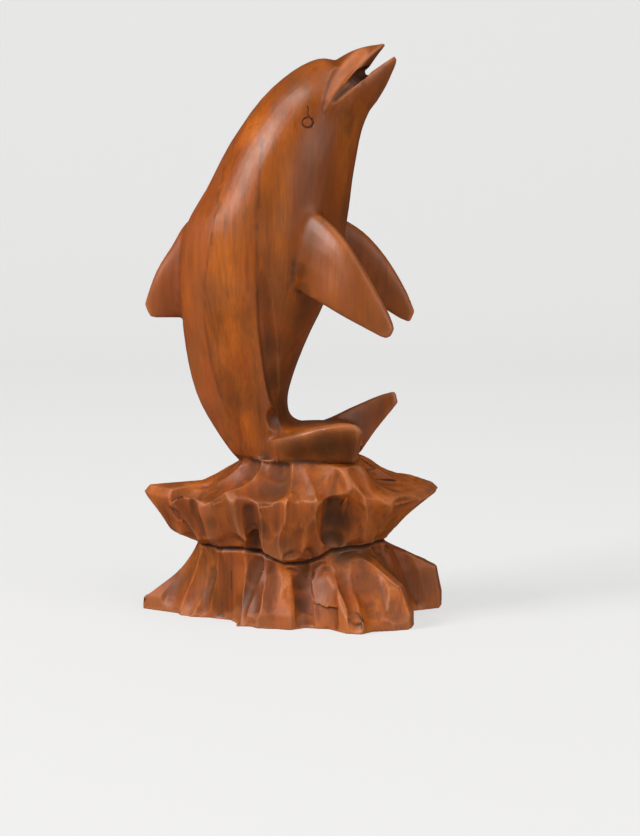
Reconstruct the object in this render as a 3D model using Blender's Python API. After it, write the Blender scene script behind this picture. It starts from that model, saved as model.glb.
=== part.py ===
"""A leaping dolphin on a two-tiered rock, carved from one block of wood.

All lengths are in metres. +Z is up, the belly and the beak point to +X, and the origin
lies on the underside of the rock, below the middle of the leap. Heights in the dolphin's
tables are measured from the top of the rock, so the figure rides on it.
"""

import math

import bmesh
import bpy
import numpy as np

# Rock: heights of its two tiers, and the flat bands at its foot and round its top
LOWER_TIER_HEIGHT = 0.0335
UPPER_TIER_HEIGHT = 0.0435
SKIRT_HEIGHT = 0.0068
WAIST_UNDERCUT = 0.0035
RIM_THICKNESS = 0.0036
BROW_SETBACK = 0.0029
LEAST_UNDERCUT = 0.0020
WAIST_LIP = 0.0060
TOP_REACH_ALONG = 0.0265
TOP_REACH_ACROSS = 0.0225
TOP_SHIFT = 0.0065
WAIST_REACH_ALONG = 0.0455
WAIST_REACH_ACROSS = 0.0285
BACK_FOOT_REACH = 0.050
BACK_RIM_REACH = 0.0435
FLUTE_DEPTH = 0.0075
LIP_FLUTE_DEPTH = 0.0022
BACK_FLUTES = 7
ROCK_TOP = LOWER_TIER_HEIGHT + UPPER_TIER_HEIGHT

# Rock outlines, as seen from above: azimuth in degrees, then reach from the axis
FOOT_OUTLINE = (
    (165, 0.069), (177, 0.0755), (187, 0.056), (198, 0.0530), (203, 0.0415), (218, 0.0340),
    (234, 0.0364), (241, 0.0422), (249, 0.0385), (257, 0.0415), (268, 0.0409), (279, 0.0435),
    (289, 0.0390), (297, 0.0436), (302, 0.0460), (305, 0.0600), (310, 0.0655), (316, 0.0625),
    (324, 0.0684), (330, 0.0720), (339, 0.0670), (351, 0.0570), (369, 0.0575), (371, 0.0700),
    (385, 0.0756), (396, 0.0740),
)
# The same for the lower tier's shoulder: share of the way from waist to foot, and height
SHOULDER = (
    (165, 0.42, 0.0192), (187, 0.44, 0.0188), (196, 0.34, 0.0180), (206, 0.62, 0.0170),
    (222, 0.45, 0.0190), (236, 0.55, 0.0190), (248, 0.12, 0.0170), (257, 0.66, 0.0180),
    (268, 0.30, 0.0200), (278, 0.66, 0.0180), (289, 0.02, 0.0190), (298, 0.60, 0.0190),
    (306, 0.48, 0.0200), (315, 0.42, 0.0200), (324, 0.74, 0.0190), (334, 0.88, 0.0190),
    (351, 0.50, 0.0200), (368, 0.55, 0.0215), (373, 0.93, 0.0205), (396, 0.93, 0.0200),
)
# The upper tier's lower lip and its widest rim: azimuth, reach, height over the waist
LIP_OUTLINE = (
    (165, 0.0580, 0.0055), (177, 0.0605, 0.0060), (197, 0.0475, 0.0036), (213, 0.0430, 0.0035),
    (234, 0.0370, 0.0040), (250, 0.0345, 0.0030), (262, 0.0350, 0.0005), (274, 0.0370, -0.0020),
    (291, 0.0365, -0.0020), (304, 0.0350, 0.0010), (314, 0.0345, 0.0030), (326, 0.0430, 0.0040),
    (340, 0.0470, 0.0050), (360, 0.0475, 0.0050), (380, 0.0485, 0.0050), (396, 0.0460, 0.0040),
)
RIM_OUTLINE = (
    (165, 0.0660, 0.0222), (174, 0.0752, 0.0240), (187, 0.0600, 0.0236), (203, 0.0580, 0.0235),
    (213, 0.0450, 0.0215), (233, 0.0440, 0.0265), (243, 0.0425, 0.0260), (250, 0.0370, 0.0250),
    (259, 0.0410, 0.0262), (268, 0.0385, 0.0240), (279, 0.0425, 0.0265), (288, 0.0375, 0.0265),
    (298, 0.0450, 0.0275), (311, 0.0400, 0.0260), (317, 0.0480, 0.0280), (332, 0.0560, 0.0240),
    (341, 0.0620, 0.0225), (357, 0.0680, 0.0245), (375, 0.0715, 0.0256), (385, 0.0660, 0.0250),
    (396, 0.0630, 0.0260),
)
# Where the top slope and the underside each have their middle line, how far the slope sags
# there, and how far the underside reaches out; both lean to +X
SLOPE_MIDDLE = 0.45
SLOPE_SAG = 0.69
SLOPE_SAG_LEAN = 0.13
UNDERSIDE_MIDDLE = 0.42
UNDERSIDE_REACH = 0.40
UNDERSIDE_LEAN = 0.05

# Body: greatest widths, and how full its sections are (2 is an ellipse, less is keeled)
CHEST_WIDTH = 0.064
HEAD_WIDTH = 0.045
TAIL_STOCK_WIDTH = 0.035
SECTION_FULLNESS = 1.85

# Body ribs from the flukes' web up to the forehead, each the back's and the belly's point
# (x, height), the width there, and how far from back to belly the flank's crease lies
BODY_RIBS = (
    ((0.0200, -0.0100), (0.0230, 0.0030), 0.40 * TAIL_STOCK_WIDTH, 0.50),
    ((0.0060, -0.0120), (0.0150, 0.0152), 0.80 * TAIL_STOCK_WIDTH, 0.55),
    ((-0.0120, -0.0110), (0.0060, 0.0164), 0.92 * TAIL_STOCK_WIDTH, 0.60),
    ((-0.0250, -0.0030), (0.0006, 0.0187), 0.96 * TAIL_STOCK_WIDTH, 0.72),
    ((-0.0370, 0.0135), (-0.0013, 0.0230), TAIL_STOCK_WIDTH, 0.82),
    ((-0.0455, 0.0303), (-0.0005, 0.0320), 0.63 * CHEST_WIDTH, 0.84),
    ((-0.0502, 0.0520), (0.0072, 0.0520), 0.77 * CHEST_WIDTH, 0.68),
    ((-0.0520, 0.0780), (0.0188, 0.0755), 0.92 * CHEST_WIDTH, 0.54),
    ((-0.0514, 0.0945), (0.0233, 0.0888), 0.98 * CHEST_WIDTH, 0.50),
    ((-0.0484, 0.1105), (0.0275, 0.1020), CHEST_WIDTH, 0.47),
    ((-0.0384, 0.1275), (0.0304, 0.1200), 0.97 * CHEST_WIDTH, 0.45),
    ((-0.0262, 0.1492), (0.0334, 0.1390), 0.88 * CHEST_WIDTH, 0.45),
    ((-0.0110, 0.1700), (0.0370, 0.1550), HEAD_WIDTH, 0.49),
    ((0.0045, 0.1829), (0.0415, 0.1650), 0.88 * HEAD_WIDTH, 0.55),
    ((0.0165, 0.1884), (0.0455, 0.1715), 0.71 * HEAD_WIDTH, 0.60),
    ((0.0255, 0.1876), (0.0470, 0.1750), 0.48 * HEAD_WIDTH, 0.62),
)

# Beak: two jaws that leave the mouth's corner at a slant and part towards their tips
BEAK_LENGTH = 0.0287
BEAK_SLANT = 42.5
UPPER_JAW_WIDTH = 0.032
LOWER_JAW_WIDTH = 0.029
BEAK_TIP_WIDTH = 0.0040
UPPER_JAW_FULLNESS = 1.50
LOWER_JAW_FULLNESS = 1.90
JAW_CREASE = 0.84
MOUTH_CORNER = (0.0290, 0.1730)
MOUTH_GAPE = 0.0064
# Each jaw along the beak: share of its length, height of its outer edge over the mouth
# line, share of the gape that its inner edge leaves open, and its width's share
UPPER_JAW_RIBS = (
    (-0.62, 0.0040, -0.40, 0.98),
    (-0.42, 0.0070, -0.35, 1.22),
    (-0.20, 0.0100, -0.30, 1.24),
    (0.12, 0.0136, -0.25, 1.04),
    (0.38, 0.0128, 0.06, 0.84),
    (0.62, 0.0104, 0.27, 0.61),
    (0.80, 0.0076, 0.42, 0.38),
    (0.92, 0.0050, 0.50, 0.19),
    (1.00, 0.0036, 0.54, 0.00),
)
LOWER_JAW_RIBS = (
    (-0.80, -0.0135, -0.30, 0.90),
    (-0.30, -0.0142, -0.30, 0.98),
    (0.12, -0.0148, -0.20, 0.97),
    (0.38, -0.0133, 0.06, 0.82),
    (0.60, -0.0114, 0.24, 0.62),
    (0.78, -0.0093, 0.36, 0.41),
    (0.91, -0.0077, 0.46, 0.20),
    (0.98, -0.0062, 0.50, 0.00),
)
MOUTH_LINE = -0.0012

# Eyes: a disc left standing inside a cut ring
EYE_PLACE = (0.0151, 0.1586)
EYE_DIAMETER = 0.0042
EYE_RING_WIDTH = 0.0011

# Fins, each as pairs of points on its leading and trailing edge, from root to tip
DORSAL_FIN_THICKNESS = 0.0140
DORSAL_TIP_THICKNESS = 0.0036
DORSAL_FULLNESS = 2.4
DORSAL_EDGES = (
    ((-0.0380, 0.0, 0.1200), (-0.0380, 0.0, 0.0655)),
    ((-0.0490, 0.0, 0.1115), (-0.0490, 0.0, 0.0658)),
    ((-0.0565, 0.0, 0.1002), (-0.0565, 0.0, 0.0661)),
    ((-0.0640, 0.0, 0.0886), (-0.0640, 0.0, 0.0661)),
    ((-0.0700, 0.0, 0.0728), (-0.0672, 0.0, 0.0664)),
)
PECTORAL_ROOT_THICKNESS = 0.0120
PECTORAL_TIP_THICKNESS = 0.0036
PECTORAL_FULLNESS = 2.7
NEAR_PECTORAL_EDGES = (
    ((0.0010, -0.0130, 0.1190), (0.0020, -0.0130, 0.0860)),
    ((0.0130, -0.0185, 0.1195), (0.0115, -0.0225, 0.0796)),
    ((0.0250, -0.0265, 0.1130), (0.0210, -0.0300, 0.0753)),
    ((0.0348, -0.0325, 0.1032), (0.0300, -0.0345, 0.0706)),
    ((0.0445, -0.0365, 0.0890), (0.0405, -0.0375, 0.0654)),
    ((0.0522, -0.0385, 0.0755), (0.0475, -0.0392, 0.0618)),
    ((0.0562, -0.0395, 0.0672), (0.0524, -0.0400, 0.0597)),
    ((0.0571, -0.0397, 0.0638), (0.0552, -0.0400, 0.0603)),
)
FAR_PECTORAL_EDGES = (
    ((0.0010, 0.0130, 0.1150), (0.0020, 0.0130, 0.0860)),
    ((0.0130, 0.0185, 0.1165), (0.0115, 0.0225, 0.0812)),
    ((0.0253, 0.0265, 0.1108), (0.0205, 0.0300, 0.0790)),
    ((0.0353, 0.0325, 0.1021), (0.0290, 0.0345, 0.0742)),
    ((0.0453, 0.0365, 0.0884), (0.0400, 0.0375, 0.0678)),
    ((0.0521, 0.0385, 0.0752), (0.0478, 0.0392, 0.0627)),
    ((0.0556, 0.0395, 0.0660), (0.0530, 0.0400, 0.0606)),
)
FLUKE_ROOT_THICKNESS = 0.0080
FLUKE_TIP_THICKNESS = 0.0040
NEAR_FLUKE_EDGES = (
    ((-0.0100, -0.0080, 0.0080), (-0.0100, -0.0060, -0.0090)),
    ((-0.0010, -0.0205, 0.0112), (-0.0010, -0.0140, -0.0090)),
    ((0.0105, -0.0285, 0.0148), (0.0100, -0.0165, -0.0060)),
    ((0.0210, -0.0305, 0.0174), (0.0200, -0.0170, -0.0060)),
    ((0.0310, -0.0315, 0.0188), (0.0285, -0.0165, -0.0060)),
    ((0.0372, -0.0315, 0.0180), (0.0330, -0.0165, -0.0050)),
    ((0.0395, -0.0312, 0.0150), (0.0365, -0.0235, 0.0040)),
)
FAR_FLUKE_EDGES = (
    ((-0.0090, 0.0060, 0.0110), (-0.0090, 0.0060, -0.0080)),
    ((0.0120, 0.0150, 0.0145), (0.0120, 0.0160, -0.0080)),
    ((0.0270, 0.0240, 0.0208), (0.0265, 0.0240, -0.0050)),
    ((0.0390, 0.0285, 0.0256), (0.0368, 0.0275, 0.0080)),
    ((0.0468, 0.0300, 0.0278), (0.0482, 0.0295, 0.0222)),
)
FLUKE_FULLNESS = 4.5

# Web that fills the tail's notch, as pairs of points on its near and far side
WEB_THICKNESS = 0.0130
WEB_TIP_THICKNESS = 0.0120
WEB_FULLNESS = 3.0
WEB_EDGES = (
    ((-0.0100, -0.0120, 0.0070), (-0.0100, 0.0120, 0.0080)),
    ((0.0030, -0.0190, 0.0085), (0.0030, 0.0160, 0.0100)),
    ((0.0140, -0.0225, 0.0095), (0.0140, 0.0210, 0.0100)),
    ((0.0250, -0.0235, 0.0085), (0.0240, 0.0240, 0.0090)),
    ((0.0300, -0.0215, 0.0020), (0.0280, 0.0220, 0.0010)),
)

# Cuts of the gouge across the rock: the azimuth and height where each starts and where it
# ends, the gouge's radius, its bite, and how far the cut runs on past its ends
SCOOPS = (
    ((263, 0.0735), (273, 0.0615), 0.0260, 0.0020, 1.1),
    ((322, 0.0735), (322, 0.0640), 0.0200, 0.0018, 1.2),
    ((319, 0.0600), (314, 0.0430), 0.0068, 0.0042, 1.6),
    ((282, 0.0460), (281, 0.0350), 0.0100, 0.0024, 1.5),
    ((209, 0.0540), (210, 0.0420), 0.0070, 0.0020, 2.2),
    ((250, 0.0560), (250, 0.0420), 0.0070, 0.0014, 2.2),
    ((203, 0.0190), (200, 0.0050), 0.0110, 0.0024, 2.0),
    ((245, 0.0270), (238, 0.0060), 0.0070, 0.0018, 1.8),
    ((320, 0.0210), (315, 0.0080), 0.0080, 0.0020, 1.8),
    ((202, 0.0705), (193, 0.0645), 0.0120, 0.0015, 2.4),
    ((218, 0.0705), (209, 0.0640), 0.0120, 0.0016, 2.0),
    ((350, 0.0700), (352, 0.0650), 0.0220, 0.0018, 2.2),
    ((25, 0.0700), (25, 0.0650), 0.0180, 0.0020, 2.4),
    ((62, 0.0700), (64, 0.0635), 0.0180, 0.0020, 2.4),
    ((105, 0.0700), (103, 0.0635), 0.0180, 0.0020, 2.4),
    ((140, 0.0700), (144, 0.0650), 0.0180, 0.0020, 2.4),
    ((82, 0.0520), (82, 0.0420), 0.0110, 0.0020, 2.0),
    ((125, 0.0520), (124, 0.0420), 0.0120, 0.0020, 2.0),
)

# Fineness of the lofts
BODY_STEPS = 3
BODY_SIDES = 44
BEAK_STEPS = 2
BEAK_SIDES = 24
FIN_STEPS = 3
FIN_SIDES = 18


def clear_scene():
    for obj in list(bpy.data.objects):
        bpy.data.objects.remove(obj, do_unlink=True)


def new_collection(name):
    collection = bpy.data.collections.new(name)
    bpy.context.scene.collection.children.link(collection)
    return collection


def add_object(name, mesh, collection):
    obj = bpy.data.objects.new(name, mesh)
    collection.objects.link(obj)
    return obj


def as_helper(obj):
    obj.hide_render = True
    obj.display_type = "WIRE"
    return obj


def finish_solid(name, shape, collection):
    """Turns a closed surface's faces outwards and makes it an object."""
    bmesh.ops.recalc_face_normals(shape, faces=shape.faces)
    if shape.calc_volume(signed=True) < 0:
        bmesh.ops.reverse_faces(shape, faces=shape.faces)
    mesh = bpy.data.meshes.new(name)
    shape.to_mesh(mesh)
    shape.free()
    return add_object(name, mesh, collection)


def loft(name, rings, collection):
    """A closed solid through rings of equally many points, capped by a fan at each end."""
    shape = bmesh.new()
    rows = [[shape.verts.new(point) for point in ring] for ring in rings]
    for row, following in zip(rows, rows[1:]):
        for i, corner in enumerate(row):
            j = (i + 1) % len(row)
            shape.faces.new((corner, row[j], following[j], following[i]))
    for row in (rows[0], rows[-1]):
        middle = shape.verts.new(sum((v.co for v in row), row[0].co * 0) / len(row))
        for i, corner in enumerate(row):
            shape.faces.new((corner, row[(i + 1) % len(row)], middle))
    return finish_solid(name, shape, collection)


def smooth_through(stations, steps):
    """Rows between the given rows, on a Catmull-Rom curve through them."""
    rows = np.array(stations, float)
    ahead = np.vstack((2 * rows[0] - rows[1], rows, 2 * rows[-1] - rows[-2]))
    found = []
    for i in range(1, len(ahead) - 2):
        a, b, c, d = ahead[i - 1 : i + 3]
        for k in range(steps):
            t = k / steps
            bend = 2 * b + (c - a) * t + (2 * a - 5 * b + 4 * c - d) * t**2
            found.append((bend + (3 * b - a - 3 * c + d) * t**3) / 2)
    found.append(rows[-1])
    return found


def power(value, exponent):
    return math.copysign(abs(value) ** exponent, value)


def keeled_section(back, belly, width, crease, fullness, sides):
    """A rib: soft keels on back and belly, and its widest line at crease of the depth."""
    back, belly = np.array(back), np.array(belly)
    points = []
    for i in range(sides):
        angle = 2 * math.pi * i / sides
        along = power(math.cos(angle), 2 / fullness)
        across = power(math.sin(angle), 2 / fullness)
        depth = crease + (1 - crease) * along if along > 0 else crease * (1 + along)
        x, z = back + (belly - back) * depth
        points.append((x, across * width / 2, z + ROCK_TOP))
    return points


def make_body(collection):
    table = [(*back, *belly, width, crease) for back, belly, width, crease in BODY_RIBS]
    rings = [
        keeled_section(row[0:2], row[2:4], row[4], row[5], SECTION_FULLNESS, BODY_SIDES)
        for row in smooth_through(table, BODY_STEPS)
    ]
    return loft("dolphin_body", rings, collection)


def beak_point(along, above):
    """A point (x, height) at a distance along the beak's slant and above it."""
    slant = math.radians(BEAK_SLANT)
    x = MOUTH_CORNER[0] + along * math.cos(slant) - above * math.sin(slant)
    z = MOUTH_CORNER[1] + along * math.sin(slant) + above * math.cos(slant)
    return x, z


def make_jaw(name, ribs, root_width, fullness, side, collection):
    """One jaw; side is 1 for the upper one and -1 for the lower one."""
    rings = []
    for share, outer, open_share, breadth in smooth_through(ribs, BEAK_STEPS):
        width = BEAK_TIP_WIDTH + (root_width - BEAK_TIP_WIDTH) * breadth
        edge = beak_point(share * BEAK_LENGTH, outer)
        inner = beak_point(share * BEAK_LENGTH, MOUTH_LINE + side * open_share * MOUTH_GAPE)
        rings.append(keeled_section(edge, inner, width, JAW_CREASE, fullness, BEAK_SIDES))
    return loft(name, rings, collection)


def eye_centre(body, side):
    """Where a line across the head, through the eye's place, leaves the body."""
    x, z = EYE_PLACE[0], EYE_PLACE[1] + ROCK_TOP
    hit, point, normal, _ = body.ray_cast((x, side * CHEST_WIDTH, z), (0, -side, 0))
    return point, normal


def make_eye_rings(body, collection):
    for name, side in (("near_eye_ring", -1), ("far_eye_ring", 1)):
        point, normal = eye_centre(body, side)
        bpy.ops.mesh.primitive_torus_add(
            major_radius=(EYE_DIAMETER + EYE_RING_WIDTH) / 2,
            minor_radius=EYE_RING_WIDTH / 2,
            major_segments=16,
            minor_segments=6,
            location=point,
            rotation=normal.to_track_quat("Z", "Y").to_euler(),
        )
        ring = bpy.context.object
        ring.name = name
        for owner in ring.users_collection:
            owner.objects.unlink(ring)
        collection.objects.link(ring)
        as_helper(ring)


def blade_section(lead, trail, thickness, span, fullness):
    """A lens between a leading and a trailing point, square to the blade's plane."""
    lead, trail = np.array(lead), np.array(trail)
    chord = trail - lead
    square = np.cross(chord, span)
    square /= np.linalg.norm(square)
    middle = (lead + trail) / 2
    points = []
    for i in range(FIN_SIDES):
        angle = 2 * math.pi * i / FIN_SIDES
        along = power(math.cos(angle), 2 / fullness)
        across = power(math.sin(angle), 2 / fullness)
        point = middle + chord / 2 * along + square * thickness / 2 * across
        points.append(tuple(point + (0, 0, ROCK_TOP)))
    return points


def make_blade(name, edges, root_thickness, tip_thickness, fullness, collection):
    rows = smooth_through([(*lead, *trail) for lead, trail in edges], FIN_STEPS)
    rings = []
    for i, row in enumerate(rows):
        before, after = rows[max(i - 1, 0)], rows[min(i + 1, len(rows) - 1)]
        span = (after - before)[:3] + (after - before)[3:]
        share = i / (len(rows) - 1)
        thickness = root_thickness + (tip_thickness - root_thickness) * share
        rings.append(blade_section(row[:3], row[3:], thickness, span, fullness))
    return loft(name, rings, collection)


def outline_at(outline, azimuth):
    """The values of an outline at an azimuth, straight between its points."""
    table = np.array(outline, float)
    azimuths = np.append(table[:, 0], table[0, 0] + 360)
    values = np.vstack((table[:, 1:], table[:1, 1:]))
    azimuth = (azimuth - azimuths[0]) % 360 + azimuths[0]
    return [float(np.interp(azimuth, azimuths, values[:, k])) for k in range(values.shape[1])]


def ellipse_reach(along, across, azimuth):
    turn = math.radians(azimuth)
    return 1 / math.hypot(math.cos(turn) / along, math.sin(turn) / across)


def with_back_flutes(outline, back_reach, depth):
    """Closes an outline behind the rock with evenly spaced ridges and grooves."""
    first, last = outline[-1], outline[0]
    start, end = first[0], last[0] + 360
    steps = 2 * BACK_FLUTES
    closed = list(outline)
    for i in range(1, steps):
        share = i / steps
        azimuth = start + (end - start) * share
        ends = [a + (b - a) * share for a, b in zip(first[1:], last[1:])]
        reach = ellipse_reach(ends[0], back_reach, azimuth)
        groove = depth * (i % 2)
        closed.append((azimuth, reach - groove, *ends[1:]))
    return closed


def rock_outlines():
    foot = with_back_flutes(FOOT_OUTLINE, BACK_FOOT_REACH, FLUTE_DEPTH)
    lip = with_back_flutes(LIP_OUTLINE, WAIST_REACH_ACROSS + WAIST_LIP, LIP_FLUTE_DEPTH)
    rim = with_back_flutes(RIM_OUTLINE, BACK_RIM_REACH, FLUTE_DEPTH)
    return foot, lip, rim


def rock_profile(azimuth, outlines):
    """One upright line down the rock at an azimuth, as (reach, height) from top to foot."""
    foot, lip, rim = outlines
    (foot_reach,) = outline_at(foot, azimuth)
    lip_reach, lip_rise = outline_at(lip, azimuth)
    rim_reach, rim_rise = outline_at(rim, azimuth)
    share, shoulder = outline_at(SHOULDER, azimuth)
    lean = math.cos(math.radians(azimuth))
    sag = SLOPE_SAG - SLOPE_SAG_LEAN * lean
    under = UNDERSIDE_REACH - UNDERSIDE_LEAN * lean
    top = ellipse_reach(TOP_REACH_ALONG, TOP_REACH_ACROSS, azimuth) + TOP_SHIFT * lean
    waist = ellipse_reach(WAIST_REACH_ALONG, WAIST_REACH_ACROSS, azimuth)
    waist = min(waist, lip_reach - LEAST_UNDERCUT)
    lip_height = LOWER_TIER_HEIGHT + lip_rise
    rim_height = LOWER_TIER_HEIGHT + rim_rise
    brow = rim_height + RIM_THICKNESS
    middle_height = lip_height + UNDERSIDE_MIDDLE * (rim_height - lip_height)
    return (
        (top, ROCK_TOP),
        (top + SLOPE_MIDDLE * (rim_reach - top), ROCK_TOP + sag * (brow - ROCK_TOP)),
        (rim_reach - BROW_SETBACK, brow),
        (rim_reach, rim_height),
        (lip_reach + under * (rim_reach - lip_reach), middle_height),
        (lip_reach, lip_height),
        (waist, lip_height - WAIST_UNDERCUT),
        (waist + share * (foot_reach - waist), shoulder),
        (foot_reach, SKIRT_HEIGHT),
        (foot_reach, 0.0),
    )


def make_rock(collection):
    outlines = rock_outlines()
    marks = sorted({round(row[0] % 360, 3) for outline in outlines for row in outline})
    azimuths = [marks[0]]
    for mark in marks[1:]:
        if mark - azimuths[-1] > 2.4:
            azimuths.append(mark)
    profiles = [rock_profile(azimuth, outlines) for azimuth in azimuths]
    rings = []
    for level in zip(*profiles):
        ring = []
        for azimuth, (reach, height) in zip(azimuths, level):
            turn = math.radians(azimuth)
            ring.append((reach * math.cos(turn), reach * math.sin(turn), height))
        rings.append(ring)
    return loft("rock", rings, collection)


def rock_point(azimuth, height):
    """The rock's outermost point at an azimuth and height."""
    profile = rock_profile(azimuth, rock_outlines())
    found = []
    for (reach, z), (next_reach, next_z) in zip(profile, profile[1:]):
        if next_z <= height <= z and z > next_z:
            share = (z - height) / (z - next_z)
            found.append(reach + (next_reach - reach) * share)
    turn = math.radians(azimuth)
    return np.array((math.cos(turn) * max(found), math.sin(turn) * max(found), height))


def make_scoops(collection):
    """Long round bites of the gouge, each deepest half way between its two ends."""
    for k, (start, end, radius, bite, overrun) in enumerate(SCOOPS):
        middle = rock_point((start[0] + end[0]) / 2, (start[1] + end[1]) / 2)
        along = rock_point(*end) - rock_point(*start)
        length = np.linalg.norm(along)
        along /= length
        side = np.cross((middle[0], middle[1], 0.0), along)
        side /= np.linalg.norm(side)
        square = np.cross(along, side)
        centre = middle + square * (radius - bite)
        stretch = overrun * length / 2 / math.sqrt(1 - (1 - bite / radius) ** 2) / radius
        shape = bmesh.new()
        bmesh.ops.create_icosphere(shape, subdivisions=3, radius=radius)
        for vert in shape.verts:
            place = centre + side * vert.co.x + along * vert.co.y * stretch
            vert.co = place + square * vert.co.z
        as_helper(finish_solid(f"scoop_{k}", shape, collection))


def carved_material():
    material = bpy.data.materials.new("stained_wood")
    material.use_nodes = True
    shader = material.node_tree.nodes["Principled BSDF"]
    shader.inputs["Base Color"].default_value = (0.30, 0.085, 0.022, 1.0)
    shader.inputs["Roughness"].default_value = 0.38
    shader.inputs["Metallic"].default_value = 0.0
    return material


def add_boolean(obj, operation, collection):
    modifier = obj.modifiers.new(operation.lower(), "BOOLEAN")
    modifier.operation = operation
    modifier.operand_type = "COLLECTION"
    modifier.collection = collection
    modifier.solver = "EXACT"


def make_fins(collection):
    make_blade(
        "dorsal_fin", DORSAL_EDGES, DORSAL_FIN_THICKNESS, DORSAL_TIP_THICKNESS,
        DORSAL_FULLNESS, collection,
    )
    make_blade(
        "fluke_web", WEB_EDGES, WEB_THICKNESS, WEB_TIP_THICKNESS, WEB_FULLNESS, collection
    )
    for name, edges in (
        ("near_pectoral", NEAR_PECTORAL_EDGES),
        ("far_pectoral", FAR_PECTORAL_EDGES),
    ):
        make_blade(
            name, edges, PECTORAL_ROOT_THICKNESS, PECTORAL_TIP_THICKNESS,
            PECTORAL_FULLNESS, collection,
        )
    for name, edges in (("near_fluke", NEAR_FLUKE_EDGES), ("far_fluke", FAR_FLUKE_EDGES)):
        make_blade(
            name, edges, FLUKE_ROOT_THICKNESS, FLUKE_TIP_THICKNESS, FLUKE_FULLNESS, collection
        )


def main():
    clear_scene()
    carving = new_collection("dolphin_figurine")
    forms = new_collection("joined_forms")
    scoops = new_collection("scoops")
    rings = new_collection("eye_rings")
    body = make_body(carving)
    body.name = "carved_dolphin"
    make_eye_rings(body, rings)
    make_jaw("upper_jaw", UPPER_JAW_RIBS, UPPER_JAW_WIDTH, UPPER_JAW_FULLNESS, 1, forms)
    make_jaw("lower_jaw", LOWER_JAW_RIBS, LOWER_JAW_WIDTH, LOWER_JAW_FULLNESS, -1, forms)
    make_fins(forms)
    rock = make_rock(forms)
    make_scoops(scoops)
    add_boolean(rock, "DIFFERENCE", scoops)
    for form in forms.objects:
        as_helper(form)
    add_boolean(body, "UNION", forms)
    add_boolean(body, "DIFFERENCE", rings)
    body.data.materials.append(carved_material())


main()
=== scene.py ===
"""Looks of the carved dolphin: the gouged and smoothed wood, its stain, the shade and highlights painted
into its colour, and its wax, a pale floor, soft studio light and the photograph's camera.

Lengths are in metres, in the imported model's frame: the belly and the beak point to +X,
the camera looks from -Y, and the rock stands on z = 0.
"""

import math

import bmesh
import bpy
import numpy as np
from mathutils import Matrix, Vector
from mathutils.bvhtree import BVHTree


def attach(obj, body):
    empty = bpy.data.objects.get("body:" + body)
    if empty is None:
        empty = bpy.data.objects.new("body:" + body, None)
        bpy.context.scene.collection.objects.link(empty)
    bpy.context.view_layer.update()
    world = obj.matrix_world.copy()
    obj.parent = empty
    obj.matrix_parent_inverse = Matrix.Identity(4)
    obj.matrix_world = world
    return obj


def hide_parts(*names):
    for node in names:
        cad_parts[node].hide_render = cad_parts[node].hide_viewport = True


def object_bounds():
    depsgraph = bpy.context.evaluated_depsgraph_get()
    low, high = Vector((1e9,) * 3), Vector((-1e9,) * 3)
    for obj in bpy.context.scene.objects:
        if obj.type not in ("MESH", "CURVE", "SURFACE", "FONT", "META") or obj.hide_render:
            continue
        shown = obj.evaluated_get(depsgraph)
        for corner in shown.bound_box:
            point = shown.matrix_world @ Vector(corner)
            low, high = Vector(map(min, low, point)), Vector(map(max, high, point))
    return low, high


MM = 0.001

# Camera of the photograph
CAMERA_PLACE = (0.2336, -1.2404, 0.2423)
CAMERA_AIM = (0.0148, 0.0, 0.0949)
CAMERA_ROLL = math.radians(-0.88)
CAMERA_LENS_MM = 114.11
CAMERA_SENSOR_MM = 36.0

# Lamps, each with its name, place, size in metres and power in watts, and what all share
LAMPS = (
    ("key", (-2.0, -1.4, 1.75), (1.4, 1.4), 104),
    ("side", (1.9, -1.7, 1.0), (2.2, 2.0), 40),
    ("top", (0.5, -0.5, 2.1), (1.8, 1.8), 20),
)
LAMP_AIM = (0, 0, 0.13)
LAMP_COLOUR = (1.0, 0.98, 0.96)

# How bright the room is as light, in reflections and as the camera sees it, and the paper's
# own glow for the camera
ROOM_LIGHT = 0.13
ROOM_REFLECTION = 0.012
ROOM_SEEN = 0.80
PAPER_GLOW = 0.59

# Floor and backdrop, in metres: the front edge, the curve between them, the backdrop's top and
# half the width of both
FLOOR_FRONT = -1.6
CURVE_START = 1.2
CURVE_RADIUS = 0.9
CURVE_STEPS = 16
BACKDROP_TOP = 3.0
FLOOR_HALF = 3.0

# Fineness of the carved surface
VOXEL = 0.80 * MM
MOST_TRIANGLES = 160000

# Heights in metres: the rock's top, and the fades from the tail up and into the head
ROCK_TOP = 0.077
TAIL_FADE = (0.098, 0.112)
HEAD_FADE = (0.222, 0.236)

# A slow swell over the surface: wavelength in metres, seed and depth in mm
RIPPLE_WAVES = 9
ROCK_RIPPLE = (0.007, 3, 0.15)
DOLPHIN_RIPPLE = (0.016, 5, 0.20)

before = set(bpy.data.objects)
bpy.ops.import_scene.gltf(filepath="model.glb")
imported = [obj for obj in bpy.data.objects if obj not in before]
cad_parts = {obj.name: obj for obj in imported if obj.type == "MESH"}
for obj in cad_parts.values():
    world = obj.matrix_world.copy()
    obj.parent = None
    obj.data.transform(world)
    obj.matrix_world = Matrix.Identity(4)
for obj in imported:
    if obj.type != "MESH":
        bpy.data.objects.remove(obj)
cad_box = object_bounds()
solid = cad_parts["carved_dolphin"]


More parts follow.
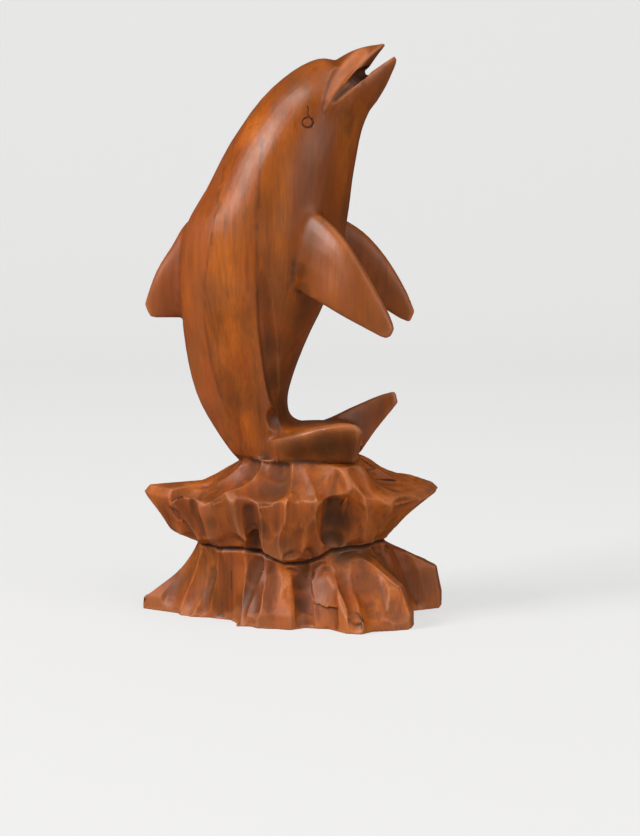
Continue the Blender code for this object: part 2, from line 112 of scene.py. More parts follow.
class Surface:
    """A triangle or quad mesh as arrays, with the smoothing that the carving needs."""

    def __init__(self, mesh):
        self.points = np.empty(len(mesh.vertices) * 3)
        mesh.vertices.foreach_get("co", self.points)
        self.points = self.points.reshape(-1, 3)
        self.edges = np.empty(len(mesh.edges) * 2, np.int64)
        mesh.edges.foreach_get("vertices", self.edges)
        self.edges = self.edges.reshape(-1, 2)
        count = len(self.points)
        self.valence = np.bincount(self.edges.ravel(), minlength=count).astype(float)
        self.valence = np.maximum(self.valence, 1.0)
        normals = np.empty(count * 3)
        mesh.vertex_normals.foreach_get("vector", normals)
        self.normals = normals.reshape(-1, 3)

    def spread(self, values):
        """Mean of each point's neighbours, for one value or a row of values a point."""
        rows = values.reshape(len(values), -1)
        start, end = self.edges.T
        found = np.empty_like(rows)
        for k in range(rows.shape[1]):
            total = np.bincount(start, rows[end, k], len(rows))
            total += np.bincount(end, rows[start, k], len(rows))
            found[:, k] = total / self.valence
        return found.reshape(values.shape)

    def relax(self, rounds, weight):
        """Evens the surface out and swells it back, so that it keeps its volume."""
        weight = np.broadcast_to(weight, len(self.points))[:, None]
        for _ in range(rounds):
            for pull in (0.60, -0.62):
                self.points += (self.spread(self.points) - self.points) * weight * pull

    def fill_hollows(self, rounds, weight):
        """Rounds inner corners off like the side of a thumb, and leaves outer edges alone."""
        for _ in range(rounds):
            pull = self.spread(self.points) - self.points
            outwards = np.einsum("ij,ij->i", pull, self.normals)
            share = np.where(outwards > 0, weight, 0.0)
            self.points += pull * share[:, None]

    def even_normals(self, rounds):
        normals = self.normals
        for _ in range(rounds):
            normals = normals + self.spread(normals)
            normals /= np.linalg.norm(normals, axis=1)[:, None]
        return normals


def smooth_step(low, high, values):
    share = np.clip((values - low) / (high - low), 0.0, 1.0)
    return share * share * (3 - 2 * share)


def remeshed(source):
    """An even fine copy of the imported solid's mesh."""
    shape = bmesh.new()
    shape.from_mesh(source.data)
    bmesh.ops.remove_doubles(shape, verts=shape.verts, dist=0.01 * MM)
    mesh = bpy.data.meshes.new("dolphin_carving")
    shape.to_mesh(mesh)
    shape.free()
    piece = bpy.data.objects.new("dolphin_carving", mesh)
    bpy.context.scene.collection.objects.link(piece)
    modifier = piece.modifiers.new("even", "REMESH")
    modifier.mode = "VOXEL"
    modifier.voxel_size = VOXEL
    apply_modifiers(piece)
    return piece


def apply_modifiers(piece):
    graph = bpy.context.evaluated_depsgraph_get()
    mesh = bpy.data.meshes.new_from_object(piece.evaluated_get(graph))
    old = piece.data
    piece.modifiers.clear()
    piece.data = mesh
    bpy.data.meshes.remove(old)
    mesh.name = piece.name


def store_points(piece, points):
    piece.data.vertices.foreach_set("co", points.ravel())
    piece.data.update()


def store_values(piece, name, values):
    attribute = piece.data.attributes.new(name, "FLOAT", "POINT")
    attribute.data.foreach_set("value", values.astype(np.float32))


# Gouge strokes on the rock. Each has its two ends as (azimuth in degrees, height in mm), the
# gouge's radius and the depth of its bite in mm.
UPPER_STROKES = (
    ((181, 73), (175, 63), 14, 0.9),
    ((197, 73), (185, 62), 12, 1.2),
    ((214, 73), (199, 61), 12, 1.2),
    ((231, 73), (222, 60), 14, 1.1),
    ((245, 76), (249, 70), 8, 1.0),
    ((263, 74), (270, 62), 16, 1.4),
    ((285, 74), (289, 62), 14, 0.9),
    ((304, 74), (307, 62), 14, 1.1),
    ((323, 74), (327, 61), 14, 1.0),
    ((341, 73), (346, 62), 16, 1.1),
    ((358, 73), (0, 64), 16, 1.0),
    ((196, 58), (199, 38), 22, 1.3),
    ((226, 59), (228, 38), 30, 1.7),
    ((208, 58), (208, 39), 3.5, 1.0),
    ((248, 58), (247, 40), 4, 1.2),
    ((262, 59), (263, 41), 8, 1.0),
    ((271, 59), (271, 46), 8, 1.0),
    ((281, 60), (281, 47), 8, 1.6),
    ((281, 46), (281, 35), 16, 1.5),
    ((297, 48), (296, 34), 18, 1.5),
    ((302, 57), (305, 43), 11, 2.0),
    ((309, 60), (309, 41), 6.5, 3.4),
    ((322, 53), (325, 37), 24, 1.4),
    ((326, 60), (333, 50), 14, 1.2),
    ((341, 57), (343, 40), 26, 1.4),
    ((2, 57), (3, 41), 24, 1.3),
)
LOWER_STROKES = (
    ((177, 30), (175, 6), 30, 1.2),
    ((188, 31), (187, 6), 20, 1.2),
    ((203, 24), (201, 2), 7, 1.8),
    ((213, 31), (212, 4), 16, 1.2),
    ((229, 30), (229, 3), 26, 1.6),
    ((251, 31), (243, 18), 5, 1.7),
    ((243, 20), (243, 1), 5, 1.7),
    ((256, 30), (255, 6), 8, 1.1),
    ((265, 29), (265, 8), 6, 1.1),
    ((281, 29), (281, 10), 14, 1.0),
    ((291, 30), (290, 16), 5, 1.8),
    ((290, 18), (288, 1), 5, 1.8),
    ((300, 30), (299, 4), 16, 1.2),
    ((313, 27), (308, 2), 6, 1.9),
    ((325, 29), (327, 6), 20, 1.2),
    ((342, 31), (345, 5), 17, 1.4),
    ((4, 31), (4, 6), 18, 1.3),
)
# Behind, where no view shows it, the same gouge goes round at even steps
BACK_STEP = 13
BACK_RANGE = (20, 164)

# Lines on the flanks, as (x, height) in mm seen from the side: a dark line down the
# back, and the crease where flank turns to belly, with painted shade along the crease and over the
# belly's side past it
BACK_LINE = ((-26, 216), (-29, 193), (-33, 172), (-36, 153), (-36, 139), (-34, 122), (-30, 105))
FLANK_LINE = ((-6, 228), (-7, 205), (-8, 186), (-9, 163), (-9, 140), (-8, 123), (-6, 106), (-2, 88))

# Painted shade, dark patches where undercuts, hollows and crevices lie in shade: centre and radius in mm,
# and strength
PAINTED_SHADE_PATCHES = (
    ((6, -28, 84), 13, 0.80),
    ((22, -30, 84), 14, 0.90),
    ((33, -28, 82), 11, 0.80),
    ((-1, -9, 100), 11, 0.70),
    ((-4, -15, 116), 9, 0.60),
    ((-5, -19, 132), 8, 0.40),
    ((28, -30, 57), 6, 0.60),
    ((26, -26, 49), 9, 0.95),
    ((24, -25, 41), 8, 0.90),
    ((30, -24, 33), 9, 0.90),
    ((37, -20, 33), 8, 0.80),
    ((2, -31, 66), 11, 0.60),
    ((-8, -36, 48), 5, 0.55),
    ((-33, -24, 48), 5, 0.60),
    ((20, -36, 20), 6, 0.55),
    ((-3, -38, 5), 6, 0.40),
    ((3, -37, 36), 10, 0.55),
    ((-14, -30, 14), 7, 0.50),
    ((-20, -29, 10), 7, 0.55),
    ((-40, -16, 12), 8, 0.45),
    ((11, -36, 12), 6, 0.60),
    ((52, -12, 14), 16, 0.90),
    ((12, -27, 167), 6, 0.70),
    ((13, -27, 158), 7, 0.80),
    ((15, -20, 150), 8, 0.70),
)

# Gouge strokes on both flanks, as ((x, height) in mm, radius, bite): the crease from belly to
# tail, the jaw's side plane and the mouth's bevel
FLANK_STROKES = (
    (((-6, 168), (-6, 150), (-5, 130), (-5, 116), (-4, 104), (-1, 90)), 8.5, 1.7),
    (((41, 272), (34.5, 263.5), (29.5, 257), (26, 250), (23.5, 243)), 8.0, 1.4),
    (((27.8, 254), (25.2, 248), (23.2, 242), (22, 237)), 4.0, 0.8),
    (((45, 262.5), (38.5, 257), (33, 252), (28.5, 248), (25, 244.5)), 3.4, 1.5),
)
# The jaw's side plane, painted lighter as a painted sheen, and the mouth's line, painted dark as painted
# shade
JAW_PLANE = ((38, 266.5), (32, 260.5), (27.8, 254), (25, 247.5), (22.8, 242))
MOUTH_LINE = ((40, 256.8), (35.8, 253.3), (31.5, 249.8), (27.5, 246.2))
# Inner corners that a gouge has rounded: centre and radius in mm, and how many rounds of it.
# The rock's front and back are rounded too, more and more over a stretch away from the middle.
WORN_CORNERS = (
    ((37, 12, 247), 11, 50),
    ((27, 16, 255), 6, 12),
    ((12, 25, 187), 18, 110),
    ((4, 36, 19), 10, 140),
    ((8, 35, 36), 9, 120),
    ((20, 37, 12), 9, 140),
    ((39, 47, 8), 7, 80),
    ((-49, 21, 56), 10, 120),
)
ROCK_ROUNDS = 70
ROCK_MIDDLE_FADE = (8, 18)
# The seam between the rock's two tiers, as (azimuth, height), and its reach and depth in mm
SEAM_LINE = (
    (20, 36.5), (182, 36.5), (196, 35), (212, 34.5), (234, 35.5), (250, 34.5), (262, 32),
    (274, 29.5), (291, 29.5), (304, 32), (314, 35), (326, 36), (345, 36.5),
)
SEAM_REACH = 1.7
SEAM_DEPTH = 1.8
# The rock's shelf under the near fluke: its middle, the reach of its rise and its height in mm
SHELF_MIDDLE = (29, -20)
SHELF_REACH = (7, 17)
SHELF_HEIGHT = 76.5

# Fine cuts on both flanks, as (x, height) in mm, with half their width and their depth: the
# ring round each eye, a short cut above it and one at its side towards the beak
EYE = (15.1, 235.6)
EYE_RING = 2.35
EYE_CUT = (0.52, 0.50)
FLANK_CUTS = (
    (((15.0, 243.0), (15.7, 241.4), (15.0, 239.8), (15.8, 238.2)), 0.50, 0.45),
    (((17.1, 237.2), (17.6, 235.4), (17.0, 233.6)), 0.70, 0.55),
)
# Cracks in the rock: (azimuth, height) in degrees and mm, half the width and the depth
CRACKS = (
    (((350, 66.8), (353, 66.3), (357, 65.3)), 0.60, 0.70),
    (((222, 24), (221, 15)), 0.30, 0.22),
)

# How hollow a point is, against its surroundings evened out: name, rounds and the hollow's
# depth that counts as one
# The hollow values darken hollows, partly as stain pooled there and partly as painted shade, and lighten
# crests, partly as worn stain and partly as painted highlight
FORM_SCALES = (("fine_form", 6, 0.25 * MM), ("broad_form", 60, 1.2 * MM))

# The wood's figure, from its dark bands to its pale ones
FIGURE = (
    (0.32, (0.170, 0.031, 0.001)),
    (0.50, (0.280, 0.055, 0.001)),
    (0.68, (0.400, 0.094, 0.002)),
)
# What lies over the figure and grain, in order, stain and painted light and shade: the point value that a
# layer follows, the two ends of its range, how strong the layer is at each end, and its colour
STAIN_AND_PAINTED_LIGHT_LAYERS = (
    # painted shade over the belly's side, which faces away from the light
    ("belly_painted_shade", 0, 1, 0, 0.30, (0.085, 0.026, 0.003)),
    ("back_band", 0, 1, 0, 0.25, (0.300, 0.070, 0.020)),
    # painted shade in the patches where the carving lies in shade
    ("painted_shade_patch", 0, 1, 0, 0.9, (0.055, 0.017, 0.002)),
    # painted sheen on the jaw's side plane
    ("painted_jaw_sheen", 0, 1, 0, 0.42, (0.560, 0.190, 0.080)),
    ("back_line", 0, 1, 0, 0.50, (0.050, 0.014, 0.004)),
    # painted shade along the crease from flank to belly
    ("flank_crease_shade", 0, 1, 0, 0.60, (0.050, 0.014, 0.004)),
    # painted shade along the mouth's line
    ("mouth_painted_shade", 0, 1, 0, 0.75, (0.030, 0.010, 0.004)),
    # painted shade along the seam between the rock's tiers and where the dolphin meets the rock
    ("seam", 0.1, 0.9, 0, 0.85, (0.025, 0.009, 0.003)),
    # darker in hollows: stain pooled there, and painted shade
    ("fine_form", 0.15, 1.3, 0.0, 0.75, (0.020, 0.007, 0.003)),
    ("broad_form", 0.15, 1.4, 0.0, 0.70, (0.045, 0.014, 0.004)),
    # lighter on crests: worn stain, and painted highlight
    ("broad_form", -1.3, -0.25, 0.30, 0.0, (0.460, 0.160, 0.060)),
    ("fine_form", -1.5, -0.4, 0.30, 0.0, (0.520, 0.190, 0.075)),
    # painted shade in the fine cuts
    ("fine_cut", 0.1, 0.9, 0.0, 0.65, (0.012, 0.004, 0.002)),
)


def nearest(points, line):
    """Distance from each point to a line of straight runs, and the way to it."""
    best = np.full(len(points), np.inf)
    away = np.zeros_like(points)
    for a, b in zip(line, line[1:]):
        along = b - a
        share = np.clip((points - a) @ along / (along @ along), 0, 1)
        gap = points - a - share[:, None] * along
        far = (gap**2).sum(1)
        closer = far < best
        best[closer] = far[closer]
        away[closer] = gap[closer]
    return np.sqrt(best), away


class Places:
    """Finds points on the carving's surface, with the even normal there."""

    def __init__(self, piece, surface):
        corners = [tuple(p) for p in surface.points]
        self.tree = BVHTree.FromPolygons(corners, [tuple(f.vertices) for f in piece.data.polygons])
        self.points = surface.points.copy()
        self.normals = surface.even_normals(6)

    def hit(self, start, way):
        found = self.tree.ray_cast(start, way)[0]
        if found is None:
            return None
        near = np.argmin(((self.points - np.array(found)) ** 2).sum(1))
        return np.array(found), self.normals[near]

    def on_rock(self, azimuth, height):
        turn = math.radians(azimuth)
        outwards = Vector((math.cos(turn), math.sin(turn), 0.0))
        return self.hit(outwards * 0.15 + Vector((0, 0, height * MM)), -outwards)

    def on_flank(self, x, height, side):
        return self.hit(Vector((x * MM, side * 0.1, height * MM)), Vector((0, -side, 0)))


def between(line, steps):
    """Points at even steps along a line of straight runs."""
    line = np.array(line, float)
    runs = np.append(0, np.cumsum(np.linalg.norm(np.diff(line, axis=0), axis=1)))
    along = np.linspace(0, runs[-1], steps)
    return np.stack([np.interp(along, runs, line[:, k]) for k in range(line.shape[1])], 1)


def gouge(surface, normals, mask, places, radius, bite, blunt=6):
    """Presses the surface back to a round blade's path, shallow at both of its ends."""
    radius, bite = radius * MM, bite * MM
    path = np.array([place for place, _ in places])
    ways = np.array([normal for _, normal in places])
    for row in (path, ways):
        for _ in range(3):
            row[1:-1] = (row[:-2] + 2 * row[1:-1] + row[2:]) / 4
    ways /= np.linalg.norm(ways, axis=1)[:, None]
    depths = bite * (1 - abs(np.linspace(-1, 1, len(path))) ** blunt)
    axis = path + ways * (radius - depths)[:, None]
    half_width = math.sqrt(2 * radius * bite - bite * bite)
    from_path = nearest(surface.points, path)[0]
    near = np.where(mask & (from_path < 1.8 * half_width))[0]
    far, away = nearest(surface.points[near], axis)
    away /= np.maximum(far, 1e-6)[:, None]
    facing = -np.einsum("ij,ij->i", away, normals[near])
    depth = np.clip(radius - far, 0, 1.3 * bite) * smooth_step(0.25, 0.65, facing)
    depth *= 1 - smooth_step(1.2 * half_width, 1.8 * half_width, from_path[near])
    surface.points[near] += away * depth[:, None]


def rock_strokes():
    strokes = list(UPPER_STROKES + LOWER_STROKES)
    for k, azimuth in enumerate(range(*BACK_RANGE, BACK_STEP)):
        lean = 5 if k % 2 else -4
        strokes.append(((azimuth, 72), (azimuth + lean, 62), 12, 1.2))
        strokes.append(((azimuth + 6, 56), (azimuth + 6 + lean, 41), 15, 1.3))
        strokes.append(((azimuth + 3, 28), (azimuth + 3 - lean, 7), 12 + lean, 1.4))
    return strokes


def ripple(points, wavelength, seed, depth):
    """A slow uneven swell over the surface, from 0 to its depth."""
    chance = np.random.default_rng(seed)
    total = np.zeros(len(points))
    for _ in range(RIPPLE_WAVES):
        way = chance.normal(size=3)
        way *= 2 * math.pi / wavelength / np.linalg.norm(way) * chance.uniform(0.7, 1.3)
        total += np.sin(points @ way + chance.uniform(0, 2 * math.pi))
    return depth * np.clip(0.5 + total / RIPPLE_WAVES, 0, 1)


def around(points, centre, radius):
    """Fades from 1 near a centre in mm to 0 at a radius from it, also on the other flank."""
    mirrored = points / MM
    mirrored[:, 1] = np.abs(mirrored[:, 1])
    far = np.linalg.norm(mirrored - np.array(centre), axis=1)
    return 1 - smooth_step(0.4 * radius, radius, far)


def wear_corners(surface):
    """Rounds the dolphin's inner corners and those of the rock's front and back."""
    for centre, radius, rounds in WORN_CORNERS:
        surface.fill_hollows(rounds, 0.5 * around(surface.points, centre, radius))
    across = np.abs(surface.points[:, 1]) / MM
    rock = 1 - smooth_step(ROCK_TOP - 6 * MM, ROCK_TOP - 2 * MM, surface.points[:, 2])
    surface.fill_hollows(ROCK_ROUNDS, 0.5 * rock * smooth_step(*ROCK_MIDDLE_FADE, across))


def seam_nearness(points):
    """How close each point lies to the seam between the rock's two tiers, 0 to 1."""
    turn = np.degrees(np.arctan2(points[:, 1], points[:, 0])) % 360
    azimuths, heights = zip(*SEAM_LINE)
    off = np.abs(points[:, 2] / MM - np.interp(turn, azimuths, heights, period=360))
    return 1 - smooth_step(0, SEAM_REACH, off)


def deepen_seam(surface):
    share = seam_nearness(surface.points)
    reach = np.hypot(surface.points[:, 0], surface.points[:, 1])
    surface.points[:, :2] *= (1 - SEAM_DEPTH * MM * share / np.maximum(reach, 0.01))[:, None]


def raise_shelf(surface):
    """Lifts the rock's edge under the near fluke, so that the fluke rests on it."""
    far = np.linalg.norm(surface.points[:, :2] / MM - np.array(SHELF_MIDDLE), axis=1)
    share = 0.85 * (1 - smooth_step(*SHELF_REACH, far))
    height = surface.points[:, 2] / MM
    share *= smooth_step(58, 66, height) * (height < SHELF_HEIGHT)
    surface.points[:, 2] += share * (SHELF_HEIGHT - height) * MM


def smooth_dolphin(surface):
    """Evens out the dolphin and rounds its inner corners, most where tail and flukes meet."""
    height = surface.points[:, 2]
    dolphin = smooth_step(ROCK_TOP, ROCK_TOP + 4 * MM, height)
    head = smooth_step(*HEAD_FADE, height)
    tail = dolphin * (1 - smooth_step(*TAIL_FADE, height))
    surface.relax(2, 1.0)
    surface.relax(14, dolphin * (1 - 0.8 * head))
    surface.fill_hollows(24, 0.5 * tail)
    surface.fill_hollows(5, 0.5)
    wear_corners(surface)
    raise_shelf(surface)
    surface.relax(5, dolphin * (1 - 0.7 * head))
    surface.relax(4, 1.0)


def cut_rock(surface, places, rock):
    for starts, ends, radius, bite in rock_strokes():
        path = [places.on_rock(*point) for point in between((starts, ends), 9)]
        gouge(surface, places.normals, rock, path, radius, bite)


def cut_flanks(surface, places, dolphin):
    for side in (-1, 1):
        own_side = dolphin & (side * surface.points[:, 1] > 0)
        for line, radius, bite in FLANK_STROKES:
            path = [places.on_flank(*point, side) for point in between(line, 15)]
            path = [place for place in path if place]
            gouge(surface, places.normals, own_side, path, radius, bite, blunt=2)


def carve(piece):
    """Evens the piece out, cuts the strokes and the seam, and keeps its foot flat."""
    surface = Surface(piece.data)
    rest = surface.points[:, 2] < 0.4 * MM
    foot = surface.points[rest].copy()
    smooth_dolphin(surface)
    surface.points[rest] = foot
    store_points(piece, surface.points)
    surface = Surface(piece.data)
    places = Places(piece, surface)
    rock = surface.points[:, 2] < ROCK_TOP - 0.5 * MM
    cut_rock(surface, places, rock)
    cut_flanks(surface, places, ~rock)
    small, broad = ripple(surface.points, *ROCK_RIPPLE), ripple(surface.points, *DOLPHIN_RIPPLE)
    surface.points -= places.normals * np.where(rock, small, broad)[:, None] * MM
    deepen_seam(surface)
    surface.relax(2, 0.6)
    surface.points[rest] = foot
    store_points(piece, surface.points)


def keep_inside(piece, box):
    """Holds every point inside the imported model's box."""
    low, high = np.array([list(corner) for corner in box])
    store_points(piece, np.clip(Surface(piece.data).points, low, high))


def thin_out(piece):
    """Leaves no more triangles than the fine cuts leave room for."""
    triangles = sum(len(face.vertices) - 2 for face in piece.data.polygons)
    if triangles > MOST_TRIANGLES:
        modifier = piece.modifiers.new("thin", "DECIMATE")
        modifier.ratio = MOST_TRIANGLES / triangles
        apply_modifiers(piece)


def fine_cut_lines(places):
    """The paths of all fine cuts on the surface, each with half its width and its depth."""
    cuts = []
    for side in (-1, 1):
        ring = [
            (EYE[0] + EYE_RING * math.cos(turn), EYE[1] + EYE_RING * math.sin(turn))
            for turn in np.linspace(0, 2 * math.pi, 25)
        ]
        cuts.append(([places.on_flank(*p, side)[0] for p in ring], *EYE_CUT))
        for line, half, depth in FLANK_CUTS:
            cuts.append(([places.on_flank(*p, side)[0] for p in between(line, 5)], half, depth))
    for line, half, depth in CRACKS:
        cuts.append(([places.on_rock(*p)[0] for p in between(line, 6)], half, depth))
    return [(np.array(line), half * MM, depth * MM) for line, half, depth in cuts]


def refine(piece, cuts, margin):
    """Halves the edges close to the fine cuts."""
    shape = bmesh.new()
    shape.from_mesh(piece.data)
    shape.verts.ensure_lookup_table()
    points = np.array([v.co[:] for v in shape.verts])
    close = np.zeros(len(points), bool)
    for line, half, _ in cuts:
        close |= nearest(points, line)[0] < half + margin
    edges = [e for e in shape.edges if close[e.verts[0].index] and close[e.verts[1].index]]
    bmesh.ops.subdivide_edges(shape, edges=edges, cuts=1, use_grid_fill=True)
    bmesh.ops.triangulate(shape, faces=[f for f in shape.faces if len(f.verts) > 3])
    shape.to_mesh(piece.data)
    shape.free()


def cut_finely(piece):
    places = Places(piece, Surface(piece.data))
    cuts = fine_cut_lines(places)
    for margin in (2.2 * MM, 1.4 * MM, 0.7 * MM):
        refine(piece, cuts, margin)
    surface = Surface(piece.data)
    even = surface.even_normals(2)
    marked = np.zeros(len(surface.points))
    for line, half, depth in cuts:
        share = np.clip(1 - (nearest(surface.points, line)[0] / half) ** 2, 0, 1)
        surface.points -= even * (share * depth)[:, None]
        marked = np.maximum(marked, share)
    store_points(piece, surface.points)
    # The mark of the fine cuts also carries the painted shade in them
    store_values(piece, "fine_cut", marked)


def side_line(points, line):
    """How near each point lies to a flank's line, and how far it is past it, in mm."""
    flat = points[:, [0, 2]] / MM
    far = nearest(flat, np.array(line, float))[0]
    heights = [p[1] for p in line[::-1]]
    past = flat[:, 0] - np.interp(flat[:, 1], heights, [p[0] for p in line[::-1]])
    return far, past


def patchy(points, patches):
    """How strong the strongest of the patches is at each point."""
    found = np.zeros(len(points))
    for centre, radius, strength in patches:
        far = np.linalg.norm(points / MM - np.array(centre), axis=1)
        found = np.maximum(found, strength * (1 - smooth_step(0.35 * radius, radius, far)))
    return found


def note_hollows(piece, surface):
    """Keeps how hollow each point is; on crests the value is below zero."""
    for name, rounds, scale in FORM_SCALES:
        even = surface.points
        for _ in range(rounds):
            even = even + 0.5 * (surface.spread(even) - even)
        hollow = np.einsum("ij,ij->i", even - surface.points, surface.normals) / scale
        store_values(piece, name, np.clip(hollow, -2, 2))


def note_head(piece, surface):
    """Keeps where the jaw's side plane gets its painted sheen and where the mouth's line of painted shade
    runs.
    """
    flat = surface.points[:, [0, 2]] / MM
    off_plane = nearest(flat, np.array(JAW_PLANE, float))[0]
    width = np.interp(flat[:, 1], (241, 266), (0.8, 4.8))
    store_values(piece, "painted_jaw_sheen", 1 - smooth_step(0.5, 1.0, off_plane / width))
    off_mouth = nearest(flat, np.array(MOUTH_LINE, float))[0]
    store_values(piece, "mouth_painted_shade", 1 - smooth_step(0.3, 1.9, off_mouth))


def note_flanks(piece, surface, body):
    """Keeps where the flanks' lines run and which side of them is back or belly, for the painted shade
    along the crease and over the belly's side.
    """
    far, past = side_line(surface.points, BACK_LINE)
    store_values(piece, "back_line", body * (1 - smooth_step(0.1, 0.8, far)))
    store_values(piece, "back_band", body * (1 - smooth_step(-2.0, 2.0, past)))
    far, past = side_line(surface.points, FLANK_LINE)
    store_values(piece, "flank_crease_shade", body * (1 - smooth_step(0.1, 1.0, far)))
    store_values(piece, "belly_painted_shade", body * smooth_step(-3.0, 7.0, past))


def note_form(piece):
    """Keeps each point's form and place as values, for the stain, the wear and the painted shade and
    highlights.
    """
    surface = Surface(piece.data)
    note_hollows(piece, surface)
    # Painted shade in patches where the carving lies in shade
    store_values(piece, "painted_shade_patch", patchy(surface.points, PAINTED_SHADE_PATCHES))
    # Painted shade along the seam between the rock's tiers and where the dolphin stands on the rock
    standing = smooth_step(0.3, 1.6, np.abs(surface.points[:, 2] - ROCK_TOP) / MM)
    store_values(piece, "seam", np.maximum(seam_nearness(surface.points), 0.7 * (1 - standing)))
    note_head(piece, surface)
    body = smooth_step(ROCK_TOP + 4 * MM, ROCK_TOP + 14 * MM, surface.points[:, 2])
    store_values(piece, "rock", 1 - body)
    note_flanks(piece, surface, body)


class Nodes:
    """Short calls for building a material's node tree."""

    def __init__(self, material):
        material.use_nodes = True
        self.tree = material.node_tree
        self.shader = self.tree.nodes["Principled BSDF"]

    def add(self, kind, **settings):
        node = self.tree.nodes.new(kind)
        for name, value in settings.items():
            setattr(node, name, value)
        return node

    def join(self, output, node_input):
        self.tree.links.new(output, node_input)

    def attribute(self, name):
        return self.add("ShaderNodeAttribute", attribute_name=name).outputs["Fac"]

    def noise(self, repeats, detail):
        """Noise with so many repeats a metre on each axis of the block."""
        place = self.add("ShaderNodeTexCoord")
        mapping = self.add("ShaderNodeMapping")
        mapping.inputs["Scale"].default_value = repeats
        noise = self.add("ShaderNodeTexNoise")
        noise.inputs["Scale"].default_value = 1.0
        noise.inputs["Detail"].default_value = detail
        self.join(place.outputs["Object"], mapping.inputs["Vector"])
        self.join(mapping.outputs["Vector"], noise.inputs["Vector"])
        return noise.outputs["Fac"]

    def ramp(self, value, *stops):
        node = self.add("ShaderNodeValToRGB")
        elements = node.color_ramp.elements
        while len(elements) < len(stops):
            elements.new(0.5)
        for element, (position, colour) in zip(elements, stops):
            element.position = position
            element.color = (*colour, 1.0)
        self.join(value, node.inputs["Fac"])
        return node.outputs["Color"]

    def span(self, value, low, high, out_low, out_high):
        node = self.add("ShaderNodeMapRange")
        node.inputs["From Min"].default_value = low
        node.inputs["From Max"].default_value = high
        node.inputs["To Min"].default_value = out_low
        node.inputs["To Max"].default_value = out_high
        self.join(value, node.inputs["Value"])
        return node.outputs["Result"]

    def mix(self, share, first, second, blend="MIX"):
        node = self.add("ShaderNodeMix", data_type="RGBA", blend_type=blend)
        for socket, value in ((node.inputs[0], share), (node.inputs[6], first), (node.inputs[7], second)):
            if isinstance(value, float):
                socket.default_value = value
            elif isinstance(value, tuple):
                socket.default_value = (*value, 1.0)
            else:
                self.join(value, socket)
        return node.outputs[2]


def wood_colour(nodes, grain):
    """Figure, mottle, grain and streaks of the wood, and the layers of stain and of painted light and
    shade over them.
    """
    colour = nodes.ramp(nodes.noise((55, 55, 8), 3.0), *FIGURE)
    mottle = nodes.noise((80, 80, 42), 5.0)
    colour = nodes.mix(nodes.span(mottle, 0.36, 0.60, 0.55, 0.0), colour, (0.120, 0.036, 0.006))
    colour = nodes.mix(nodes.span(grain, 0.38, 0.60, 0.26, 0.0), colour, (0.085, 0.024, 0.005))
    streak = nodes.noise((260, 260, 12), 2.0)
    colour = nodes.mix(nodes.span(streak, 0.34, 0.46, 0.35, 0.0), colour, (0.070, 0.020, 0.005))
    for name, low, high, at_low, at_high, tint in STAIN_AND_PAINTED_LIGHT_LAYERS:
        share = nodes.span(nodes.attribute(name), low, high, at_low, at_high)
        colour = nodes.mix(share, colour, tint)
    return colour


def wood_roughness(nodes):
    """Uneven wax, duller on the rock and in broad hollows."""
    waxed = nodes.span(nodes.noise((90, 90, 60), 3.0), 0.3, 0.7, 0.31, 0.43)
    rough = nodes.add("ShaderNodeMath", operation="MULTIPLY_ADD", use_clamp=True)
    nodes.join(nodes.attribute("rock"), rough.inputs[0])
    rough.inputs[1].default_value = 0.14
    nodes.join(waxed, rough.inputs[2])
    dull = nodes.add("ShaderNodeMath", operation="ADD", use_clamp=True)
    nodes.join(rough.outputs["Value"], dull.inputs[0])
    nodes.join(nodes.span(nodes.attribute("broad_form"), 0.0, 1.2, 0.0, 0.35), dull.inputs[1])
    return dull.outputs["Value"]


def stained_wood():
    material = bpy.data.materials.new("stained_wood")
    nodes = Nodes(material)
    shader = nodes.shader
    grain = nodes.noise((1100, 1100, 40), 3.0)
    nodes.join(wood_colour(nodes, grain), shader.inputs["Base Color"])
    nodes.join(wood_roughness(nodes), shader.inputs["Roughness"])
    shader.inputs["Specular IOR Level"].default_value = 0.31
    bump = nodes.add("ShaderNodeBump")
    bump.inputs["Strength"].default_value = 0.30
    bump.inputs["Distance"].default_value = 0.15 * MM
    nodes.join(grain, bump.inputs["Height"])
    nodes.join(bump.outputs["Normal"], shader.inputs["Normal"])
    return material


def pale_paper():
    """Paper that adds to its own light where the camera sees it and is dim in reflections."""
    material = bpy.data.materials.new("pale_paper")
    nodes = Nodes(material)
    rays = nodes.add("ShaderNodeLightPath")
    colour = nodes.mix(rays.outputs["Is Glossy Ray"], (0.60, 0.60, 0.60), (0.05, 0.05, 0.05))
    colour = nodes.mix(rays.outputs["Is Camera Ray"], colour, (0.20, 0.20, 0.20))
    nodes.join(colour, nodes.shader.inputs["Base Color"])
    nodes.shader.inputs["Roughness"].default_value = 0.9
    nodes.shader.inputs["Specular IOR Level"].default_value = 0.0
    nodes.shader.inputs["Emission Color"].default_value = (1.0, 1.0, 1.0, 1.0)
    glow = nodes.span(rays.outputs["Is Camera Ray"], 0, 1, 0, PAPER_GLOW)
    nodes.join(glow, nodes.shader.inputs["Emission Strength"])
    return material


def pale_floor():
    """A floor that runs up into the backdrop in one long curve."""
    profile = [(FLOOR_FRONT, 0.0), (CURVE_START, 0.0)]
    for k in range(1, CURVE_STEPS + 1):
        turn = math.pi / 2 * k / CURVE_STEPS
        back, rise = CURVE_RADIUS * math.sin(turn), CURVE_RADIUS * (1 - math.cos(turn))
        profile.append((CURVE_START + back, rise))
    profile.append((CURVE_START + CURVE_RADIUS, BACKDROP_TOP))
    mesh = bpy.data.meshes.new("backdrop")
    points = [(x, y, z) for y, z in profile for x in (-FLOOR_HALF, FLOOR_HALF)]
    faces = [(2 * k, 2 * k + 1, 2 * k + 3, 2 * k + 2) for k in range(len(profile) - 1)]
    mesh.from_pydata(points, [], faces)
    mesh.shade_smooth()
    floor = bpy.data.objects.new("backdrop", mesh)
    bpy.context.scene.collection.objects.link(floor)
    mesh.materials.append(pale_paper())


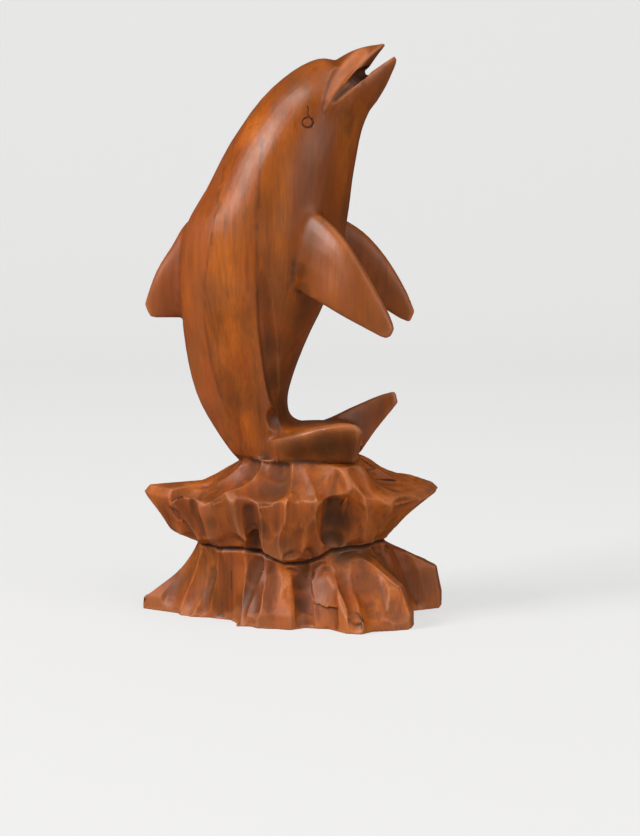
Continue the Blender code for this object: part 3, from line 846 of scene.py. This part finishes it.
def area_light(name, place, size, power):
    light = bpy.data.lights.new(name, "AREA")
    light.shape = "RECTANGLE"
    light.size, light.size_y = size
    light.energy = power
    light.color = LAMP_COLOUR
    lamp = bpy.data.objects.new(name, light)
    lamp.location = place
    sight = Vector(LAMP_AIM) - Vector(place)
    lamp.rotation_euler = sight.to_track_quat("-Z", "Y").to_euler()
    bpy.context.scene.collection.objects.link(lamp)


def studio_world():
    """An even room that is dim in reflections and pale behind the floor's edges."""
    world = bpy.data.worlds.new("studio")
    world.use_nodes = True
    tree = world.node_tree
    background = tree.nodes["Background"]
    rays = tree.nodes.new("ShaderNodeLightPath")
    strength = tree.nodes.new("ShaderNodeMapRange")
    strength.inputs["To Min"].default_value = ROOM_LIGHT
    strength.inputs["To Max"].default_value = ROOM_REFLECTION
    tree.links.new(rays.outputs["Is Glossy Ray"], strength.inputs["Value"])
    seen = tree.nodes.new("ShaderNodeMapRange")
    seen.inputs["To Max"].default_value = ROOM_SEEN
    tree.links.new(rays.outputs["Is Camera Ray"], seen.inputs["Value"])
    tree.links.new(strength.outputs["Result"], seen.inputs["To Min"])
    tree.links.new(seen.outputs["Result"], background.inputs["Strength"])
    background.inputs["Color"].default_value = (1.0, 1.0, 1.0, 1.0)
    bpy.context.scene.world = world


def light_scene():
    for lamp in LAMPS:
        area_light(*lamp)
    studio_world()
    bpy.context.scene.view_settings.view_transform = "Standard"


def place_camera():
    data = bpy.data.cameras.new("camera")
    data.lens = CAMERA_LENS_MM
    data.sensor_width = CAMERA_SENSOR_MM
    camera = bpy.data.objects.new("camera", data)
    sight = Vector(CAMERA_AIM) - Vector(CAMERA_PLACE)
    camera.location = CAMERA_PLACE
    camera.rotation_euler = sight.to_track_quat("-Z", "Y").to_euler()
    camera.rotation_euler.rotate_axis("Z", CAMERA_ROLL)
    bpy.context.scene.collection.objects.link(camera)
    bpy.context.scene.camera = camera


place_camera()
light_scene()
pale_floor()
carving = remeshed(solid)
carve(carving)
thin_out(carving)
cut_finely(carving)
keep_inside(carving, cad_box)
note_form(carving)
carving.data.shade_smooth()
carving.data.materials.clear()
carving.data.materials.append(stained_wood())
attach(carving, "root")
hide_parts("carved_dolphin")
